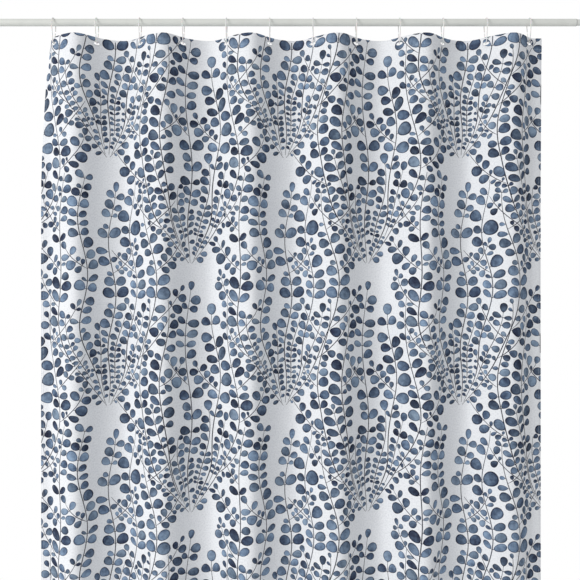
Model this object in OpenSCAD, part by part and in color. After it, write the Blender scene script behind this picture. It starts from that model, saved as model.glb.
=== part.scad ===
// Shower curtain hung by twelve open rings from a telescopic tension rod.
// Millimetres. X runs along the rod from the left wall, Z is up, and the printed face looks to -Y.
// The origin is the centre of the left pad's wall face, on the rod's axis.

/* [Rod] */
// Distance between the two walls that the rod is braced against
rod_length = 2000; // [1960:5:2050]
// Outer diameter of the large tube
outer_d = 22; // [21:0.5:22]
// Wall thickness of the large tube
outer_wall = 0.8; // [0.6:0.1:0.8]
// Where the large tube ends and the small one comes out
joint_x = 1860; // [1820:5:1870]
// Outer diameter of the small tube
inner_d = 19; // [18:0.5:19]
// Wall thickness of the small tube
inner_wall = 0.9; // [0.7:0.1:1]
// Length of the small tube, most of it inside the large one
inner_length = 760; // [700:10:900]

/* [End fittings] */
// Diameter of the cap's wall flange
cap_d = 46; // [42:1:52]
// Length of the cap along the rod
cap_length = 25; // [22:1:30]
// Thickness of the cap's floor, between tube and pad
cap_floor = 4; // [3:0.5:5]
// Diameter of the rubber pad
pad_d = 42; // [38:1:42]
// Thickness of the rubber pad
pad_t = 3; // [2:0.5:4]

/* [Tension mechanism] */
// Outer diameter of the screw's thread
screw_d = 8; // [7:0.5:8]
// Axial advance of the screw for each turn
screw_lead = 2; // [1.5:0.5:2.5]
// Length of the screw's threaded shank
screw_length = 183; // [160:1:220]
// Length of the spring as fitted
spring_length = 46; // [40:1:55]
// Number of coils in the spring
spring_coils = 7; // [5:1:9]
// Thickness of the spring's wire
spring_wire = 1.6; // [1.2:0.1:2]

/* [Rings] */
// Position of the first ring along the rod
first_ring = 252; // [230:1:270]
// Spacing of the rings along the rod
ring_pitch = 133; // [120:1:134]
// Thickness of the ring's round section
ring_wire = 3; // [2.5:0.5:4]
// Height of the ring between the middles of its top and bottom sections
ring_height = 76.3; // [72:0.1:80]
// Radius of the wide upper bend, to the middle of the section
ring_top_r = 20; // [19:0.5:24]
// Radius of the narrow lower bend, to the middle of the section
ring_low_r = 9; // [8:0.5:11]
// Width of the opening in the rear side of the ring
ring_gap = 6; // [4:0.5:8]

/* [Curtain] */
// Height of the cloth from its top edge to its bottom edge
cloth_height = 2000; // [1800:10:2000]
// Amplitude of the vertical folds
fold_depth = 38; // [25:1:42]
// How far each fold leans to the right, in degrees of its phase
fold_lean = 6; // [0:1:12]
// Extra sharpness of the folds towards the viewer
fold_crest = 0.14; // [0:0.02:0.2]
// Width of the cloth past the first and the last ring
side_margin = 42; // [30:1:45]
// Thickness of the single cloth
cloth_t = 0.6; // [0.4:0.1:0.8]
// Thickness of the folded hems
hem_t = 1.4; // [1:0.1:1.6]
// Height of the top hem
header_h = 36; // [34:1:50]
// Height of the bottom hem
bottom_h = 25; // [15:1:40]
// Width of the side hems along the rod
side_hem_w = 10; // [6:1:14]
// Distance from the top edge to the middle of a buttonhole
hole_drop = 19; // [18:0.5:22]
// Width of a buttonhole along the rod
hole_w = 14; // [12:0.5:15]
// Height of a buttonhole
hole_h = 7; // [6.5:0.5:9]
// Width of the stitched edge round a buttonhole
stitch_w = 2; // [1.5:0.5:3]

/* [Hidden] */
RINGS = 12;
function ring_name(k) = str("ring_", k < 10 ? "0" : "", k);
$fn = 64;

fit = 0.05;
running_gap = 0.3;
outer_r = outer_d / 2;
outer_bore_r = outer_r - outer_wall;
inner_r = inner_d / 2;
inner_bore_r = inner_r - inner_wall;
tube_inset = pad_t + cap_floor;

// Mechanism, from the small tube's inner end towards the left
inner_start = rod_length - tube_inset - inner_length;
nut_flange = 4;
nut_body = 25;
washer_t = 1.5;
washer_x = inner_start - nut_flange - 0.5 - washer_t;
spring_x = washer_x - running_gap - spring_length;
plug_length = 30;
plug_x = spring_x - running_gap - plug_length;
screw_r = screw_d / 2;
thread_depth = 0.6;

// Bush at the large tube's open end
bush_flange = 2;
bush_sleeve = 30;

// Rings: the rod's axis is at height 0, and the ring hangs with its top bend just over the rod
wire_r = ring_wire / 2;
ring_top = outer_r + running_gap + wire_r;
top_bend_z = ring_top - ring_top_r;
ring_bottom = ring_top - ring_height;
low_bend_z = ring_bottom + ring_low_r;
strand_lean = asin((ring_top_r - ring_low_r) / (top_bend_z - low_bend_z));
gap_start = 11;
ring_bead_r = wire_r * 1.3;
lip_r = 6;
lip_turn = 35;

// Cloth: a buttonhole's upper edge hangs just over the ring's lower bend
hole_play = 0.75;
hole_z = ring_bottom + wire_r + hole_play - hole_h / 2;
cloth_top = hole_z + hole_drop;
cloth_bottom = cloth_top - cloth_height;
last_ring = first_ring + (RINGS - 1) * ring_pitch;
cloth_left = first_ring - side_margin;
cloth_right = last_ring + side_margin;
fold_step = ring_pitch / 12;
stitch_t = 2;

function ring_x(k) = first_ring + (k - 1) * ring_pitch;

// Depth of the folds at a place along the rod: it crosses the rings' line at every ring
function fold_phase(x) = 180 * (x - first_ring) / ring_pitch;
function leaned(a) = a - fold_lean * (1 - cos(2 * a));
function crested(s) = -fold_depth * (s + fold_crest * s * s);
function fold_y(x) = crested(sin(leaned(fold_phase(x))));
function fold_normal(x) =
    let (slope = fold_y(x + 0.5) - fold_y(x - 0.5), long = sqrt(1 + slope * slope))
    [-slope / long, 1 / long];
function fold_side(x, offset) = [x, fold_y(x)] + fold_normal(x) * offset;

// A point at a radius and an angle round a centre
function round_point(centre, r, a) = centre + r * [cos(a), sin(a)];

// Lays a shape that was made along +Z along +X, starting at x
module along_rod(x) {
    translate([x, 0, 0]) rotate([0, 90, 0]) children();
}

module tube(x, length, outside_r, inside_r) {
    along_rod(x) difference() {
        cylinder(h = length, r = outside_r);
        translate([0, 0, -1]) cylinder(h = length + 2, r = inside_r);
    }
}

module outer_tube() {
    color("whitesmoke")
        tube(tube_inset, joint_x - bush_flange - tube_inset, outer_r, outer_bore_r);
}

module inner_tube() {
    color("white") tube(inner_start, inner_length, inner_r, inner_bore_r);
}

module joint_bush() {
    bore_r = inner_r + fit;
    color("gainsboro") union() {
        tube(joint_x - bush_flange, bush_flange, outer_r, bore_r);
        tube(joint_x - bush_flange - bush_sleeve, bush_sleeve, outer_bore_r - fit, bore_r);
    }
}

// A cap stands on its flange at height 0 and takes the tube from above
module end_cap(tube_r) {
    flange_r = cap_d / 2;
    neck_r = outer_r + 2.4;
    edge = 1.5;
    flare = 6;
    flange_t = cap_floor + 1;
    rim_z = cap_length - edge;
    rotate_extrude() polygon(concat(
        [[0, 0]],
        [for (a = [-90:30:0]) round_point([flange_r - edge, edge], edge, a)],
        [for (a = [0:30:90]) round_point([flange_r - edge, flange_t - edge], edge, a)],
        [for (a = [270:-15:180]) round_point([neck_r + flare, flange_t + flare], flare, a)],
        [for (a = [0:30:90]) round_point([neck_r - edge, rim_z], edge, a)],
        [[tube_r + fit, cap_length], [tube_r + fit, cap_floor], [0, cap_floor]]
    ));
}

// A pad has its wall face at height 0, with two shallow grooves round the middle
module end_pad() {
    groove_w = 2;
    groove_depth = 0.8;
    difference() {
        cylinder(h = pad_t, r = pad_d / 2);
        for (r = [11, 16])
            translate([0, 0, -1]) difference() {
                cylinder(h = 1 + groove_depth, r = r + groove_w);
                translate([0, 0, -1]) cylinder(h = 4, r = r);
            }
    }
}

// Places a fitting at the right wall, facing back along the rod
module at_right_wall() {
    translate([rod_length, 0, 0]) mirror([1, 0, 0]) children();
}

module left_cap() {
    color("white") along_rod(pad_t) end_cap(outer_r);
}

module left_pad() {
    color("lightgray") along_rod(0) end_pad();
}

module right_cap() {
    color("white") at_right_wall() along_rod(pad_t) end_cap(inner_r);
}

module right_pad() {
    color("lightgray") at_right_wall() along_rod(0) end_pad();
}

// Split nylon plug that grips the large tube's bore and holds the screw
module friction_plug() {
    slit = 1.5;
    slit_length = 20;
    color("ivory") along_rod(plug_x) difference() {
        cylinder(h = plug_length, r = outer_bore_r - fit);
        translate([0, 0, -1]) cylinder(h = plug_length + 2, r = screw_r + fit);
        for (a = [0, 90])
            rotate([0, 0, a]) translate([-outer_r, -slit / 2, -1])
                cube([outer_d, slit, slit_length + 1]);
    }
}

// Round-headed screw whose thread is drawn as ridges one lead apart
module tension_screw() {
    head_r = 7;
    head_h = 5;
    root_r = screw_r - thread_depth;
    ridges = floor((screw_length - plug_length - 2) / screw_lead);
    first_ridge = screw_length - ridges * screw_lead;
    color("silver") along_rod(plug_x) union() {
        translate([0, 0, -head_h]) cylinder(h = head_h, r = head_r);
        rotate_extrude() polygon(concat(
            [[0, -1], [screw_r, -1], [screw_r, plug_length]],
            [[root_r, plug_length]],
            [for (i = [0:ridges - 1], p = [[0, 0], [thread_depth, 0.3], [thread_depth, 0.45], [0, 0.75]])
                [root_r + p[0], first_ridge + (i + p[1]) * screw_lead]],
            [[root_r, screw_length], [0, screw_length]]
        ));
    }
}

// Round bar through a list of sections, each [middle, first axis, second axis, radius]
module swept(sections, sides) {
    last = len(sections) - 1;
    points = [for (s = sections, j = [0:sides - 1])
        s[0] + s[3] * (cos(360 * j / sides) * s[1] + sin(360 * j / sides) * s[2])];
    skin = [for (i = [0:last - 1], j = [0:sides - 1])
        let (a = i * sides + j, b = i * sides + (j + 1) % sides)
        [a, b, b + sides, a + sides]];
    ends = [
        [for (j = [sides - 1:-1:0]) j],
        [for (j = [0:sides - 1]) last * sides + j]
    ];
    polyhedron(points, concat(skin, ends));
}

// Compression spring, coiled about the screw
module tension_spring() {
    coil_r = 6.2;
    per_turn = 18;
    wire = spring_wire / 2;
    run = spring_length - spring_wire;
    lead_angle = atan(run / spring_coils / (2 * PI * coil_r));
    steps = spring_coils * per_turn;
    color("silver") along_rod(spring_x) swept(
        [for (i = [0:steps])
            let (turn = 360 * i / per_turn, out = [cos(turn), sin(turn), 0])
            [
                coil_r * out + [0, 0, wire + run * i / steps],
                out,
                [sin(lead_angle) * sin(turn), -sin(lead_angle) * cos(turn), cos(lead_angle)],
                wire
            ]],
        6
    );
}

module spring_washer() {
    color("silver") tube(washer_x, washer_t, 8, screw_r + running_gap);
}

// Flanged nut pressed into the small tube's inner end
module screw_nut() {
    bore_r = screw_r + fit;
    color("ivory") union() {
        tube(inner_start - nut_flange, nut_flange, inner_r + running_gap, bore_r);
        tube(inner_start, nut_body, inner_bore_r - fit, bore_r);
    }
}

// Section of a ring at a point in the XY plane, where the ring runs along d
function section(p, d, r) = [[p[0], p[1], 0], [d[1], -d[0], 0], [0, 0, 1], r];

// Sections round a bend, counter-clockwise or clockwise as the turn's sign says
function bend(centre, r, a0, turn, steps) =
    [for (i = [0:steps])
        let (a = a0 + turn * i / steps)
        section(round_point(centre, r, a), sign(turn) * [-sin(a), cos(a)], wire_r)];

// Sections of a round end at p, facing along d, from angle a0 to angle a1
function round_end(p, d, r, a0, a1, steps, way) =
    [for (i = [0:steps])
        let (a = a0 + (a1 - a0) * i / steps)
        section(p + d * r * sin(a), way * d, r * cos(a))];

// Pear-shaped open ring in the XY plane, with its opening on the +X side
module ring_shape() {
    top_c = [0, top_bend_z];
    low_c = [0, low_bend_z];
    rear_top = round_point(top_c, ring_top_r, -strand_lean);
    rear_low = round_point(low_c, ring_low_r, -strand_lean);
    down = (rear_low - rear_top) / norm(rear_low - rear_top);
    upper_end = rear_top + down * gap_start;
    lower_end = upper_end + down * (ring_gap + 2 * ring_bead_r);
    lip_c = round_point(lower_end, lip_r, -strand_lean);
    lip_a = 180 - strand_lean;
    tip_a = lip_a - lip_turn;
    tip_d = [sin(tip_a), -cos(tip_a)];
    neck_a = acos(wire_r / ring_bead_r);
    color("snow") swept(
        concat(
            round_end(upper_end, down, ring_bead_r, 75, -neck_a, 5, -1),
            bend(top_c, ring_top_r, -strand_lean, 180 + 2 * strand_lean, 18),
            bend(low_c, ring_low_r, 180 + strand_lean, 180 - 2 * strand_lean, 12),
            bend(lip_c, lip_r, lip_a, -lip_turn, 3),
            round_end(round_point(lip_c, lip_r, tip_a), tip_d, wire_r, 25, 75, 2, 1)
        ),
        8
    );
}

module ring(k) {
    translate([ring_x(k), 0, 0]) rotate([90, 0, 90]) ring_shape();
}

// Upright band of folded cloth from x0 to x1 and from z0 to z1
module band(x0, x1, thickness, z0, z1) {
    steps = ceil((x1 - x0) / fold_step);
    front = [for (i = [0:steps]) fold_side(x0 + (x1 - x0) * i / steps, -thickness / 2)];
    back = [for (i = [steps:-1:0]) fold_side(x0 + (x1 - x0) * i / steps, thickness / 2)];
    translate([0, 0, z0]) linear_extrude(height = z1 - z0) polygon(concat(front, back));
}

// Bar with rounded sides that runs through the cloth where a ring passes
module slot_bar(k, w, h) {
    r = h / 2;
    half = w / 2 - r;
    translate([ring_x(k), 0, hole_z]) rotate([90, 0, 0])
        linear_extrude(height = 4 * fold_depth, center = true) union() {
            translate([-half, 0]) circle(r = r, $fn = 32);
            translate([half, 0]) circle(r = r, $fn = 32);
            square([2 * half, h], center = true);
        }
}

module curtain_panel() {
    color("aliceblue")
        band(cloth_left + side_hem_w, cloth_right - side_hem_w, cloth_t,
            cloth_bottom + bottom_h, cloth_top - header_h);
}

module header_hem() {
    color("lightsteelblue") difference() {
        band(cloth_left, cloth_right, hem_t, cloth_top - header_h, cloth_top);
        for (k = [1:RINGS]) slot_bar(k, hole_w + 2 * stitch_w, hole_h + 2 * stitch_w);
    }
}

module bottom_hem() {
    color("lightsteelblue")
        band(cloth_left, cloth_right, hem_t, cloth_bottom, cloth_bottom + bottom_h);
}

module side_hem(x0) {
    band(x0, x0 + side_hem_w, hem_t, cloth_bottom + bottom_h, cloth_top - header_h);
}

module left_hem() {
    color("lightsteelblue") side_hem(cloth_left);
}

module right_hem() {
    color("lightsteelblue") side_hem(cloth_right - side_hem_w);
}

// Stitched edges of the buttonholes, one for each ring
module buttonhole_stitching() {
    reach = hole_w / 2 + stitch_w + 2;
    color("white") for (k = [1:RINGS])
        intersection() {
            band(ring_x(k) - reach, ring_x(k) + reach, stitch_t, hole_z - hole_h, hole_z + hole_h);
            difference() {
                slot_bar(k, hole_w + 2 * stitch_w, hole_h + 2 * stitch_w);
                slot_bar(k, hole_w, hole_h);
            }
        }
}

outer_tube();
inner_tube();
joint_bush();
left_cap();
left_pad();
right_cap();
right_pad();
friction_plug();
tension_screw();
tension_spring();
spring_washer();
screw_nut();
ring(1);  // ring_01
ring(2);  // ring_02
ring(3);  // ring_03
ring(4);  // ring_04
ring(5);  // ring_05
ring(6);  // ring_06
ring(7);  // ring_07
ring(8);  // ring_08
ring(9);  // ring_09
ring(10);  // ring_10
ring(11);  // ring_11
ring(12);  // ring_12
curtain_panel();
header_hem();
bottom_hem();
left_hem();
right_hem();
buttonhole_stitching();
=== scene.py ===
"""Looks of a printed shower curtain that hangs by open rings from a telescopic tension rod.

Metres. X runs along the rod, Z is up, and the printed face of the cloth looks to -Y.
"""

import math
import random

import bpy
import numpy as np
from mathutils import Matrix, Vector


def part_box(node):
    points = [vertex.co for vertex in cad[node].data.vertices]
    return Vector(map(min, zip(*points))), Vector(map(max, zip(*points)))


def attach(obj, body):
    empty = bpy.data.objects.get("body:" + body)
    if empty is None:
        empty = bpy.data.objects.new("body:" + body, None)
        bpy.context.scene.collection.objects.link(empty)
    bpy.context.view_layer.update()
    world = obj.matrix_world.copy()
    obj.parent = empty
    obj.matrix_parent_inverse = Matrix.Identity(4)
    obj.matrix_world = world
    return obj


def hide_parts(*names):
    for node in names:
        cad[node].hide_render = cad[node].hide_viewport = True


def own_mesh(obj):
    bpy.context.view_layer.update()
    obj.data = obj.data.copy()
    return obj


MM = 0.001

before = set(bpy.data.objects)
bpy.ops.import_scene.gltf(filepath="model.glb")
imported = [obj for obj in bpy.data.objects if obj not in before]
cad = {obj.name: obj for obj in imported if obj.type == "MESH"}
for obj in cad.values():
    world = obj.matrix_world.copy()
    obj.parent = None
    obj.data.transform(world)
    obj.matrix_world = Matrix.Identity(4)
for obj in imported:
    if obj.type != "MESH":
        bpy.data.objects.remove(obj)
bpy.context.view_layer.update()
scene = bpy.context.scene


def middle(name):
    """Middle of a CAD node's box."""
    low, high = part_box(name)
    return (low + high) / 2


RING_COUNT = 12
RING_NAMES = [f"ring_{k:02d}" for k in range(1, RING_COUNT + 1)]
FIRST_RING = middle(RING_NAMES[0]).x
LAST_RING = middle(RING_NAMES[-1]).x
PITCH = (LAST_RING - FIRST_RING) / (RING_COUNT - 1)
CLOTH_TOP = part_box("header_hem")[1].z
CLOTH_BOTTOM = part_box("bottom_hem")[0].z


# ---------------------------------------------------------------- camera, light and surroundings

VIEW_MIDDLE = Vector((0.9795, 0.0, -0.823))
VIEW_DISTANCE = 2.2
VIEW_WIDTH = 1.785
SENSOR_WIDTH = 36.0
KEY_ANGLE = 51.0
KEY_HEIGHT = 12.0
KEY_DISTANCE = 8.0
KEY_SIZE = 3.0
KEY_POWER = 345.0
KEY_COLOUR = (1.0, 0.995, 0.985)
AMBIENT = 0.63
AMBIENT_COLOUR = (0.97, 0.985, 1.0)
BACK_PLACE = (-4.5, 5.5, 1.5)
BACK_SIZE = 2.6
BACK_POWER = 260.0
FLOOR_LEVEL = -2.15


def make_camera():
    data = bpy.data.cameras.new("camera")
    data.sensor_width = SENSOR_WIDTH
    data.lens = SENSOR_WIDTH * VIEW_DISTANCE / VIEW_WIDTH
    data.clip_start = 0.05
    data.clip_end = 60.0
    data.dof.use_dof = False
    camera = bpy.data.objects.new("camera", data)
    camera.location = VIEW_MIDDLE - Vector((0.0, VIEW_DISTANCE, 0.0))
    camera.rotation_euler = (math.pi / 2, 0.0, 0.0)
    scene.collection.objects.link(camera)
    scene.camera = camera


def add_light(name, place, size, power, colour=(1.0, 1.0, 1.0)):
    """A soft round light at a place seen from the view's middle, which it looks at."""
    data = bpy.data.lights.new(name, "AREA")
    data.shape = "DISK"
    data.size = size
    data.energy = power
    data.color = colour
    light = bpy.data.objects.new(name, data)
    light.location = VIEW_MIDDLE + place
    light.rotation_euler = (-place).to_track_quat("-Z", "Y").to_euler()
    scene.collection.objects.link(light)


def make_lights():
    """The key light from the left, and a weak one on the cloth's back for views from behind."""
    turn = math.radians(KEY_ANGLE)
    rise = math.tan(math.radians(KEY_HEIGHT))
    towards = Vector((-math.sin(turn), -math.cos(turn), rise))
    add_light("key_light", towards * KEY_DISTANCE, KEY_SIZE, KEY_POWER, KEY_COLOUR)
    add_light("back_light", Vector(BACK_PLACE), BACK_SIZE, BACK_POWER)


def make_world():
    """Plain white behind the object, and a soft even light from all round."""
    world = bpy.data.worlds.new("studio")
    world.use_nodes = True
    tree = world.node_tree
    tree.nodes.clear()
    path = tree.nodes.new("ShaderNodeLightPath")
    seen = tree.nodes.new("ShaderNodeBackground")
    seen.inputs["Color"].default_value = (1.0, 1.0, 1.0, 1.0)
    seen.inputs["Strength"].default_value = 1.0
    light = tree.nodes.new("ShaderNodeBackground")
    light.inputs["Color"].default_value = (*AMBIENT_COLOUR, 1.0)
    light.inputs["Strength"].default_value = AMBIENT
    mix = tree.nodes.new("ShaderNodeMixShader")
    out = tree.nodes.new("ShaderNodeOutputWorld")
    tree.links.new(path.outputs["Is Camera Ray"], mix.inputs[0])
    tree.links.new(light.outputs[0], mix.inputs[1])
    tree.links.new(seen.outputs[0], mix.inputs[2])
    tree.links.new(mix.outputs[0], out.inputs["Surface"])
    scene.world = world


# ---------------------------------------------------------------- materials

WEAVE_PITCH = 1.1 * MM
PEEL_DEPTH = 0.05 * MM


class Look:
    """A material, with short calls for the nodes that it is built of."""

    def __init__(self, name, colour, roughness, **sockets):
        self.material = bpy.data.materials.new(name)
        self.material.use_nodes = True
        self.tree = self.material.node_tree
        self.inputs = self.tree.nodes["Principled BSDF"].inputs
        self.feed(self.inputs["Base Color"], colour)
        self.feed(self.inputs["Roughness"], roughness)
        for key, value in sockets.items():
            self.feed(self.inputs[key.replace("_", " ")], value)

    def feed(self, socket, value):
        """Links an output to an input, or writes a number, vector or colour in it."""
        if isinstance(value, bpy.types.NodeSocket):
            self.tree.links.new(value, socket)
        elif socket.type == "RGBA":
            socket.default_value = (*value, 1.0)
        else:
            socket.default_value = value

    def node(self, kind, inputs, **settings):
        """Adds a node with its settings and inputs."""
        made = self.tree.nodes.new(kind)
        for key, value in settings.items():
            setattr(made, key, value)
        for key, value in inputs.items():
            self.feed(made.inputs[key], value)
        return made

    def calc(self, operation, *values):
        """A Math node of numbers and outputs."""
        inputs = dict(enumerate(values))
        return self.node("ShaderNodeMath", inputs, operation=operation).outputs[0]

    def add_scaled(self, value, factor, rest):
        return self.calc("MULTIPLY_ADD", value, factor, rest)

    def mix(self, factor, first, second):
        inputs = {0: factor, 6: first, 7: second}
        return self.node("ShaderNodeMix", inputs, data_type="RGBA").outputs[2]

    def ramp(self, value, stops):
        """A colour ramp with stops of (place, colour)."""
        made = self.node("ShaderNodeValToRGB", {0: value})
        elements = made.color_ramp.elements
        while len(elements) < len(stops):
            elements.new(0.5)
        for element, (place, colour) in zip(elements, stops):
            element.position = place
            element.color = (*colour, 1.0)
        return made.outputs[0]

    def noise(self, vector, scale, detail, roughness):
        inputs = {"Vector": vector, "Scale": scale, "Detail": detail, "Roughness": roughness}
        return self.node("ShaderNodeTexNoise", inputs).outputs["Fac"]

    def between(self, value, low, high, **settings):
        """0 below low and 1 above high."""
        inputs = {"Value": value, "From Min": low, "From Max": high}
        return self.node("ShaderNodeMapRange", inputs, **settings).outputs[0]

    def place(self):
        return self.node("ShaderNodeTexCoord", {}).outputs["Object"]

    def attribute(self, name):
        return self.node("ShaderNodeAttribute", {}, attribute_name=name).outputs["Vector"]

    def split(self, vector):
        return self.node("ShaderNodeSeparateXYZ", {0: vector}).outputs

    def weave(self):
        """Height of a plain weave over the flat cloth's two directions."""
        across, down, _ = self.split(self.attribute("cloth_place"))
        turn = 2 * math.pi / WEAVE_PITCH
        warp = self.calc("SINE", self.calc("MULTIPLY", across, turn))
        weft = self.calc("SINE", self.calc("MULTIPLY", down, turn))
        return self.calc("MULTIPLY", warp, weft)

    def set_colour(self, value):
        self.feed(self.inputs["Base Color"], value)

    def set_roughness(self, value, factor, least):
        self.feed(self.inputs["Roughness"], self.add_scaled(value, factor, least))

    def set_bump(self, height, strength, distance):
        inputs = {"Height": height, "Strength": strength, "Distance": distance}
        self.feed(self.inputs["Normal"], self.node("ShaderNodeBump", inputs).outputs[0])


def cloth_material():
    look = Look(
        "printed_cloth_weave", (0.85, 0.85, 0.86), 0.82,
        Sheen_Weight=0.12, Sheen_Roughness=0.5, Specular_IOR_Level=0.25)
    place = look.attribute("cloth_place")
    slubs = look.node("ShaderNodeMapping", {"Vector": place, "Scale": (1.0, 0.12, 1.0)})
    yarn = look.noise(slubs.outputs[0], 900.0, 3.0, 0.6)
    mottle = look.noise(place, 210.0, 3.0, 0.65)
    broad = look.noise(place, 7.0, 2.0, 0.5)
    grain = look.add_scaled(mottle, 0.75, look.calc("MULTIPLY", yarn, 0.15))
    look.set_colour(look.ramp(look.add_scaled(broad, 0.10, grain), [
        (0.34, (0.700, 0.712, 0.742)),
        (0.50, (0.815, 0.828, 0.855)),
        (0.66, (0.880, 0.890, 0.912)),
    ]))
    look.set_roughness(yarn, 0.16, 0.74)
    look.set_bump(look.add_scaled(yarn, 0.6, look.weave()), 0.35, 0.12 * MM)
    return look.material


def thread_material():
    look = Look("white_sewing_thread", (0.86, 0.86, 0.85), 0.6, Sheen_Weight=0.2)
    fibre = look.noise(look.place(), 2600.0, 2.0, 0.6)
    look.set_colour(look.ramp(fibre, [(0.3, (0.62, 0.63, 0.65)), (0.7, (0.76, 0.77, 0.78))]))
    look.set_bump(fibre, 0.5, 0.1 * MM)
    return look.material


def leaf_wash(look):
    """Depth of the blue on a leaf, 0 pale to 1 dark, and the distance from the leaf's middle.

    The wash pools to one end and is deeper at the rim. The distance is 1 at the outline.
    """
    along, across, widening = look.split(look.attribute("leaf_place"))
    side = look.calc("DIVIDE", across, look.add_scaled(along, widening, 1.0))
    square = look.add_scaled(side, side, look.calc("MULTIPLY", along, along))
    radius = look.calc("SQRT", square)
    tone, seed, _ = look.split(look.attribute("leaf_tone"))
    turn = look.calc("MULTIPLY", seed, 2 * math.pi)
    lit = look.calc("MULTIPLY", along, look.calc("COSINE", turn))
    lit = look.add_scaled(across, look.calc("SINE", turn), lit)
    place = look.attribute("cloth_place")
    pool = look.calc("SUBTRACT", look.noise(place, 75.0, 2.0, 0.55), 0.5)
    grain = look.calc("SUBTRACT", look.noise(place, 700.0, 2.0, 0.6), 0.5)
    rim = look.between(radius, 0.77, 0.96, interpolation_type="SMOOTHSTEP")
    depth = tone
    for source, weight in ((lit, 0.16), (pool, 0.75), (grain, 0.22), (rim, 0.46)):
        depth = look.add_scaled(source, weight, depth)
    return depth, radius


LEAF_COOL = [
    (0.00, (0.262, 0.360, 0.500)),
    (0.28, (0.150, 0.215, 0.320)),
    (0.52, (0.072, 0.106, 0.173)),
    (0.75, (0.036, 0.047, 0.087)),
    (1.00, (0.016, 0.018, 0.038)),
]
LEAF_GREY = [
    (0.00, (0.258, 0.332, 0.425)),
    (0.28, (0.148, 0.197, 0.265)),
    (0.52, (0.072, 0.101, 0.151)),
    (0.75, (0.035, 0.047, 0.076)),
    (1.00, (0.016, 0.018, 0.034)),
]


def leaf_material():
    look = Look(
        "print_leaf_watercolour", (0.08, 0.12, 0.19), 0.85, Specular_IOR_Level=0.1)
    depth, _ = leaf_wash(look)
    hue = look.split(look.attribute("leaf_tone"))[2]
    look.set_colour(look.mix(hue, look.ramp(depth, LEAF_COOL), look.ramp(depth, LEAF_GREY)))
    look.set_bump(look.weave(), 0.3, 0.1 * MM)
    return look.material


def see_through_shade_material():
    """Painted see-through shade: the print as light passing through the cloth would show it, pale,
    on the cloth's back.
    """
    look = Look("painted_see_through_shade", (0.70, 0.72, 0.77), 0.85, Specular_IOR_Level=0.2)
    depth, radius = leaf_wash(look)
    pale = look.ramp(depth, [(0.0, (0.72, 0.74, 0.78)), (1.0, (0.53, 0.55, 0.62))])
    look.set_colour(look.mix(look.between(radius, 0.80, 1.0), pale, (0.80, 0.80, 0.81)))
    look.set_bump(look.weave(), 0.3, 0.1 * MM)
    return look.material


def stem_material():
    look = Look("print_stem_ink", (0.05, 0.06, 0.10), 0.85, Specular_IOR_Level=0.1)
    cloud = look.noise(look.attribute("cloth_place"), 40.0, 2.0, 0.6)
    tone = look.split(look.attribute("leaf_tone"))[0]
    depth = look.add_scaled(look.calc("SUBTRACT", cloud, 0.5), 0.8, tone)
    look.set_colour(look.ramp(depth, [
        (0.0, (0.075, 0.092, 0.135)),
        (0.5, (0.030, 0.036, 0.062)),
        (1.0, (0.015, 0.016, 0.030)),
    ]))
    return look.material


def moulded_material(name, dark, light, roughness, mottle_scale, peel, **sockets):
    """Moulded or coated surface: faint mottled colour, uneven gloss and fine relief."""
    look = Look(name, light, roughness, **sockets)
    place = look.place()
    broad = look.noise(place, mottle_scale, 3.0, 0.55)
    look.set_colour(look.ramp(broad, [(0.3, dark), (0.65, light)]))
    look.set_roughness(broad, 0.14, roughness - 0.07)
    look.set_bump(look.noise(place, 1400.0, 2.0, 0.5), peel, PEEL_DEPTH)
    return look.material


def zinc_material():
    look = Look("zinc_plated_steel", (0.62, 0.63, 0.65), 0.3, Metallic=1.0)
    place = look.place()
    cells = look.node("ShaderNodeTexVoronoi", {"Vector": place, "Scale": 420.0})
    cloud = look.noise(place, 90.0, 3.0, 0.6)
    look.set_colour(look.ramp(cloud, [(0.3, (0.50, 0.51, 0.53)), (0.7, (0.72, 0.73, 0.74))]))
    look.set_roughness(cells.outputs["Distance"], 0.25, 0.22)
    look.set_bump(cloud, 0.2, PEEL_DEPTH)
    return look.material


# ---------------------------------------------------------------- meshes


def smooth_step(t):
    t = np.clip(t, 0.0, 1.0)
    return t * t * (3.0 - 2.0 * t)


def add_mesh(name, points, faces, material):
    """Makes an object of a mesh, smooth-shaded, with its material."""
    mesh = bpy.data.meshes.new(name)
    mesh.from_pydata(np.asarray(points, float).tolist(), [], faces)
    mesh.polygons.foreach_set("use_smooth", np.ones(len(mesh.polygons), bool))
    mesh.materials.append(material)
    mesh.update()
    made = bpy.data.objects.new(name, mesh)
    scene.collection.objects.link(made)
    return made


def store(made, name, values):
    """Writes a vector for each point of a mesh."""
    layer = made.data.attributes.new(name, "FLOAT_VECTOR", "POINT")
    layer.data.foreach_set("vector", np.asarray(values, np.float32).ravel())


def grid_faces(rows, columns, first=0):
    """Faces of a grid of points that are counted row by row."""
    faces = []
    for i in range(rows - 1):
        for j in range(columns - 1):
            a = first + i * columns + j
            faces.append((a, a + columns, a + columns + 1, a + 1))
    return faces


def tube_faces(rings, sides, first=0, closed=False, flip=False):
    """Faces of a tube of rings of points, closed on itself or capped at its ends."""
    faces = []
    for i in range(rings if closed else rings - 1):
        near = first + i * sides
        far = first + (i + 1) % rings * sides
        for j in range(sides):
            k = (j + 1) % sides
            faces.append((near + j, far + j, far + k, near + k))
    if not closed:
        last = first + (rings - 1) * sides
        faces.append(tuple(range(first, first + sides)))
        faces.append(tuple(reversed(range(last, last + sides))))
    if flip:
        faces = [face[:1] + face[:0:-1] for face in faces]
    return faces


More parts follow.
